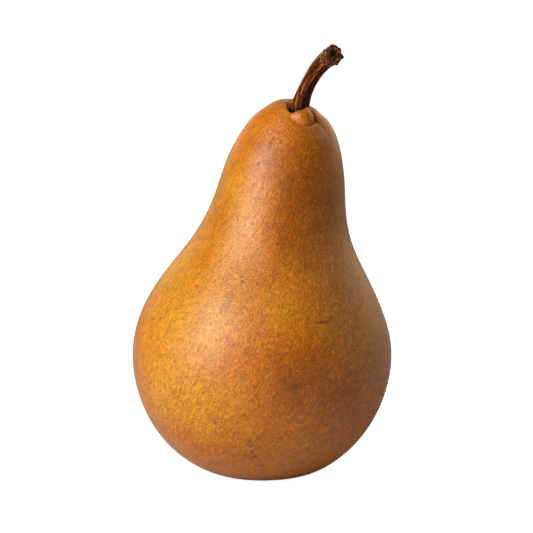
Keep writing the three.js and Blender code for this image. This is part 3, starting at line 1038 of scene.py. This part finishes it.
def calyx_material(look):
    """Dry sepals: brown-black with pale dusty flecks."""
    material, tree, shader, place = new_material("dry_sepals")
    grain = tree.shared("grain", {"Vector": place, "Per mm": SEPAL_GRAIN}).outputs
    dusty = tree.steps(grain["Fleck"], -0.6, 1.1)
    tree.link(tree.mix(dusty, rgba(look.calyx_dark), rgba(look.calyx_light)), shader["Base Color"])
    shader["Roughness"].default_value = 0.8
    tree.link(tree.bump(grain["Height"], look.calyx_depth), shader["Normal"])
    return material


# Values that the user may change

def colour_property(name, description, default):
    """A colour."""
    return FloatVectorProperty(name=name, description=description, subtype="COLOR", min=0, max=1,
                               default=default)


def length_property(name, description, default, least=0):
    """A length in metres."""
    return FloatProperty(name=name, description=description, default=default, min=least,
                         subtype="DISTANCE", unit="LENGTH")


def power_property(name, description, default):
    """The power of a lamp in watts."""
    return FloatProperty(name=name, description=description, default=default, min=0,
                         subtype="POWER", unit="POWER")


def share_property(name, description, default):
    """A share from 0 to 1."""
    return FloatProperty(name=name, description=description, default=default, min=0, max=1)


def number_property(name, description, default):
    """A number of 0 or more."""
    return FloatProperty(name=name, description=description, default=default, min=0)


def count_property(name, description, default):
    """A number of facets."""
    return IntProperty(name=name, description=description, default=default, min=16)


class PearSkinLook(bpy.types.PropertyGroup):
    """Values of the fruit and its skin"""
    around: count_property("Facets round", "Facets round the fruit", 400)
    rows: count_property("Rows", "Rows of facets along the fruit", 230)
    unevenness: length_property("Unevenness", "Height of the soft swellings of the skin", 0.12 * MM)
    grain: number_property("Grain", "Specks of the grain in each millimetre", 3.2)
    contrast: share_property("Contrast", "How much lighter and darker the grain makes the skin", 0.50)
    blotches: share_property("Blotches", "How much lighter and darker the blotches make the skin", 0.10)
    net: number_property("Net", "Cells of the pale net in each millimetre", 0.62)
    pits: number_property("Pits", "Cells that may hold a pit in each millimetre", 1.1)
    grain_depth: length_property("Grain depth", "Depth of the fine grain", 0.06 * MM)
    roughness: share_property("Roughness", "Roughness of the skin", 0.18)
    ground: colour_property("Ground", "Orange-brown ground of the skin", (0.59, 0.162, 0.004))
    golden: colour_property("Golden", "Golden patches of the skin", (0.64, 0.250, 0.010))
    brown: colour_property("Brown", "Darker orange-brown patches of the skin", (0.36, 0.085, 0.003))
    olive: colour_property("Olive", "Olive-brown tint of the skin", (0.54, 0.180, 0.018))
    pale: colour_property("Pale", "Pale cells and streaks of the russet", (0.76, 0.37, 0.035))
    pit: colour_property("Pit", "Dark lines and pits of the russet", (0.20, 0.052, 0.004))
    bruise: colour_property("Bruise", "Purplish brown of small bruises", (0.12, 0.040, 0.022))
    # Near-black of the painted shade in creases, hollows and the basin, partly the skin's own darker colour
    # there
    crease: colour_property("Crease", "Near-black brown deep in the creases", (0.045, 0.014, 0.004))


class PearStemLook(bpy.types.PropertyGroup):
    """Values of the stem and the calyx"""
    around: count_property("Facets round", "Facets round the stem", 192)
    rows: count_property("Rows", "Rows of facets along the stem", 420)
    bark: colour_property("Bark", "Reddish brown of the bark", (0.18, 0.036, 0.004))
    # Dark streaks of the bark, also the painted shade in the furrows; the light colour is the painted
    # highlight on the crests
    dark: colour_property("Dark bark", "Dark streaks of the bark", (0.046, 0.009, 0.002))
    light: colour_property("Light bark", "Orange crests of the bark", (0.46, 0.12, 0.012))
    bark_depth: length_property("Bark depth", "Depth of the fibres and cracks", 0.45 * MM)
    lumps: length_property("Lumps", "Height of the small lumps of the scar", 0.16 * MM)
    # Near-black of cracks and hollows, also the colour of the painted shade at the stem's root
    crack: colour_property("Crack", "Near-black brown of cracks and hollows", (0.012, 0.005, 0.003))
    tan: colour_property("Tan", "Tan flecks of the scar", (0.46, 0.22, 0.07))
    grey: colour_property("Grey", "Grey weathered bark by the scar", (0.20, 0.17, 0.15))
    # Painted shade at the stem's root: where it is full and where it ends along the stem
    root_shade_start: length_property("Root shade start", "Place along the stem below which it is dark", 7.5 * MM)
    root_shade_end: length_property("Root shade end", "Place along the stem where that shade ends", 11.0 * MM)
    calyx_dark: colour_property("Dark sepal", "Dark of the dry sepals", (0.02, 0.011, 0.006))
    calyx_light: colour_property("Light sepal", "Dusty brown of the dry sepals", (0.14, 0.08, 0.045))
    calyx_depth: length_property("Sepal depth", "Depth of the grain of the dry sepals", 0.3 * MM)


class PearStageLook(bpy.types.PropertyGroup):
    """Values of the floor, the lamps and the surroundings"""
    floor: colour_property("Floor", "Colour of the floor", (0.60, 0.60, 0.60))
    floor_glow: number_property("Floor glow", "Glow of the floor that only the camera sees", 0.96)
    floor_radius: length_property("Floor radius", "Radius of the round floor", 6.0, 1.0)
    key_power: power_property("Key light", "Power of the large soft light at the left", 6.2)
    core_power: power_property("Core light", "Power of the bright middle of that light", 1.3)
    top_power: power_property("Top light", "Power of the soft light above", 1.3)
    key_width: length_property("Key width", "Width of the soft light at the left", 0.50, 0.01)
    key_height: length_property("Key height", "Height of the soft light at the left", 0.85, 0.01)
    fill: number_property("Pale side", "Brightness of the surroundings behind and at the right", 1.35)
    warmth: colour_property("Surroundings", "Colour that they cast on the pear", (1.0, 0.76, 0.44))
    dim: number_property("Dark side", "Brightness of the room in front of the pear", 0.03)


# Operators

class OBJECT_OT_pear_fruit(bpy.types.Operator):
    """Makes the fruit: flesh and russet skin, with pockets for the stem and the calyx"""
    bl_idname = "object.pear_fruit"
    bl_label = "Pear fruit"

    def execute(self, context):
        look = context.scene.pear_skin
        rows = even_rows(fruit_surface, look.rows, crown_weight)
        angle, t = places_of(look.around, rows)
        grid, crease = fruit_shape(angle, t)
        grid = along_normals(grid, swellings(grid, look.unevenness / MM))
        # crease holds how deep each point lies in a crease or hollow, for the painted shade of the skin
        tones = {"crease": crease, **tone_shares(grid)}
        tones["flow"] = flow_of(grid, angle, FLOW_RADIUS, FLOW_TWIST)
        piece = lay_skin("pear_fruit", grid, rows, tones)
        piece.data.materials.append(skin_material(look))
        fit_frame(piece, "fruit")
        return {"FINISHED"}


class OBJECT_OT_pear_stem(bpy.types.Operator):
    """Makes the woody stem with its ridges and the lumpy scar at its end"""
    bl_idname = "object.pear_stem"
    bl_label = "Pear stem"

    def execute(self, context):
        look = context.scene.pear_stem
        rows = even_rows(stem_surface, look.rows)
        angle, t = places_of(look.around, rows)
        grid, relief, scar = stem_shape(angle, t)
        grid = along_normals(grid, ripples(grid, *SCAR_LUMPS, look.lumps / MM) * scar)
        tones = {"flow": flow_of(grid, angle, STEM_RADIUS), "relief": relief, "scar": scar}
        piece = lay_skin("pear_stem", grid, rows, tones)
        piece.data.materials.append(wood_material(look))
        fit_frame(piece, "stem")
        return {"FINISHED"}


class OBJECT_OT_pear_calyx(bpy.types.Operator):
    """Makes the dry calyx in the basin underneath"""
    bl_idname = "object.pear_calyx"
    bl_label = "Pear calyx"

    def execute(self, context):
        around, count = CALYX_FACETS
        rows = even_rows(calyx_surface, count)
        piece = lay_skin("pear_calyx", calyx_surface(*places_of(around, rows)), rows)
        piece.data.materials.append(calyx_material(context.scene.pear_stem))
        fit_frame(piece, "calyx")
        return {"FINISHED"}


def aim(thing, place, target):
    """Puts a lamp or camera at a place, looking at the target."""
    thing.location = place
    thing.rotation_mode = "QUATERNION"
    thing.rotation_quaternion = (Vector(target) - Vector(place)).to_track_quat("-Z", "Y")


def add_lamp(name, place, size, power):
    """A soft rectangular lamp that looks at the pear."""
    data = bpy.data.lights.new(name, "AREA")
    data.shape = "RECTANGLE"
    data.size, data.size_y = size
    data.energy = power
    lamp = bpy.data.objects.new(name, data)
    bpy.context.scene.collection.objects.link(lamp)
    aim(lamp, place, LAMP_TARGET)


def add_camera():
    """Camera at the photograph's viewing angle, its lens fitted to the size of a pixel at the pear."""
    data = bpy.data.cameras.new("camera")
    camera = bpy.data.objects.new("camera", data)
    bpy.context.scene.collection.objects.link(camera)
    bpy.context.scene.camera = camera
    data.sensor_width = SENSOR
    data.lens = SENSOR * CAMERA_DISTANCE / (PICTURE_SIDE * PIXEL)
    data.clip_end = CAMERA_REACH
    rise = math.radians(CAMERA_ELEVATION)
    back = Vector((0, -math.cos(rise), math.sin(rise)))
    target = Vector(CAMERA_TARGET)
    aim(camera, (target + back * CAMERA_DISTANCE) * MM, target * MM)


def lay_floor(look):
    """Round floor: a flat disc on the plane that the pear rests on, which glows only for the camera."""
    angle = np.linspace(0, 2 * math.pi, FLOOR_CORNERS, endpoint=False)
    points = np.stack([np.cos(angle), np.sin(angle), 0 * angle], -1) * look.floor_radius
    mesh = bpy.data.meshes.new("studio_floor")
    mesh.from_pydata(points.tolist(), [], [list(range(len(angle)))])
    floor = bpy.data.objects.new("studio_floor", mesh)
    bpy.context.scene.collection.objects.link(floor)
    material, tree, shader, _ = new_material("pale_floor")
    shader["Base Color"].default_value = rgba(look.floor)
    shader["Roughness"].default_value = 0.9
    shader["Specular IOR Level"].default_value = 0.2
    shader["Emission Color"].default_value = (1, 1, 1, 1)
    seen = tree.add("ShaderNodeLightPath").outputs["Is Camera Ray"]
    tree.link(tree.times(seen, look.floor_glow), shader["Emission Strength"])
    mesh.materials.append(material)


def light_surroundings(look):
    """Pale surroundings: seen directly they are an even white, and they light the pear with a warm tint
    from low down behind and at the right, while the room in front of it stays dark.
    """
    world = bpy.data.worlds.new("pale_surroundings")
    bpy.context.scene.world = world
    world.use_nodes = True
    tree = Tree(world.node_tree)
    way = tree.add("ShaderNodeTexCoord").outputs["Generated"]
    side = tree.vector("DOT_PRODUCT", way, PALE_SIDE, output="Value")
    up = tree.add("ShaderNodeSeparateXYZ", {0: way}).outputs[2]
    share = tree.times(tree.steps(side, *PALE_EDGE), tree.steps(up, *PALE_TOP))
    glow = tree.math("MULTIPLY_ADD", share, look.fill, look.dim)
    seen = tree.add("ShaderNodeLightPath").outputs["Is Camera Ray"]
    background = world.node_tree.nodes["Background"].inputs
    tree.link(tree.mix(seen, rgba(look.warmth), rgba((1, 1, 1))), background["Color"])
    tree.link(tree.math("MAXIMUM", glow, seen), background["Strength"])


class OBJECT_OT_pear_stage(bpy.types.Operator):
    """Makes the pale floor, the soft lights and the camera"""
    bl_idname = "object.pear_stage"
    bl_label = "Pear stage"

    def execute(self, context):
        look = context.scene.pear_stage
        lay_floor(look)
        light_surroundings(look)
        add_lamp("key_light", KEY_PLACE, (look.key_width, look.key_height), look.key_power)
        add_lamp("core_light", CORE_PLACE, CORE_SIZE, look.core_power)
        add_lamp("top_light", TOP_PLACE, TOP_SIZE, look.top_power)
        add_camera()
        context.scene.view_settings.view_transform = "Standard"
        return {"FINISHED"}


class VIEW3D_PT_pear(bpy.types.Panel):
    """Lists the pear's pieces and their values"""
    bl_label = "Pear"
    bl_idname = "VIEW3D_PT_pear"
    bl_space_type = "VIEW_3D"
    bl_region_type = "UI"
    bl_category = "Pear"

    def draw(self, context):
        for operator in OPERATORS:
            self.layout.operator(operator.bl_idname)
        for look in (context.scene.pear_skin, context.scene.pear_stem, context.scene.pear_stage):
            box = self.layout.box()
            for name in look.__annotations__:
                box.prop(look, name)


OPERATORS = (OBJECT_OT_pear_fruit, OBJECT_OT_pear_stem, OBJECT_OT_pear_calyx, OBJECT_OT_pear_stage)
CLASSES = (PearSkinLook, PearStemLook, PearStageLook, *OPERATORS, VIEW3D_PT_pear)


def register():
    """Registers the classes and gives the scene its three groups of values."""
    for kind in CLASSES:
        bpy.utils.register_class(kind)
    bpy.types.Scene.pear_skin = PointerProperty(type=PearSkinLook)
    bpy.types.Scene.pear_stem = PointerProperty(type=PearStemLook)
    bpy.types.Scene.pear_stage = PointerProperty(type=PearStageLook)


def unregister():
    """Takes back what register did."""
    for name in ("pear_skin", "pear_stem", "pear_stage"):
        delattr(bpy.types.Scene, name)
    for kind in reversed(CLASSES):
        bpy.utils.unregister_class(kind)


def main():
    """Builds the pear and its stage."""
    register()
    bpy.ops.object.pear_fruit()
    bpy.ops.object.pear_stem()
    bpy.ops.object.pear_calyx()
    bpy.ops.object.pear_stage()


if __name__ == "__main__":
    main()
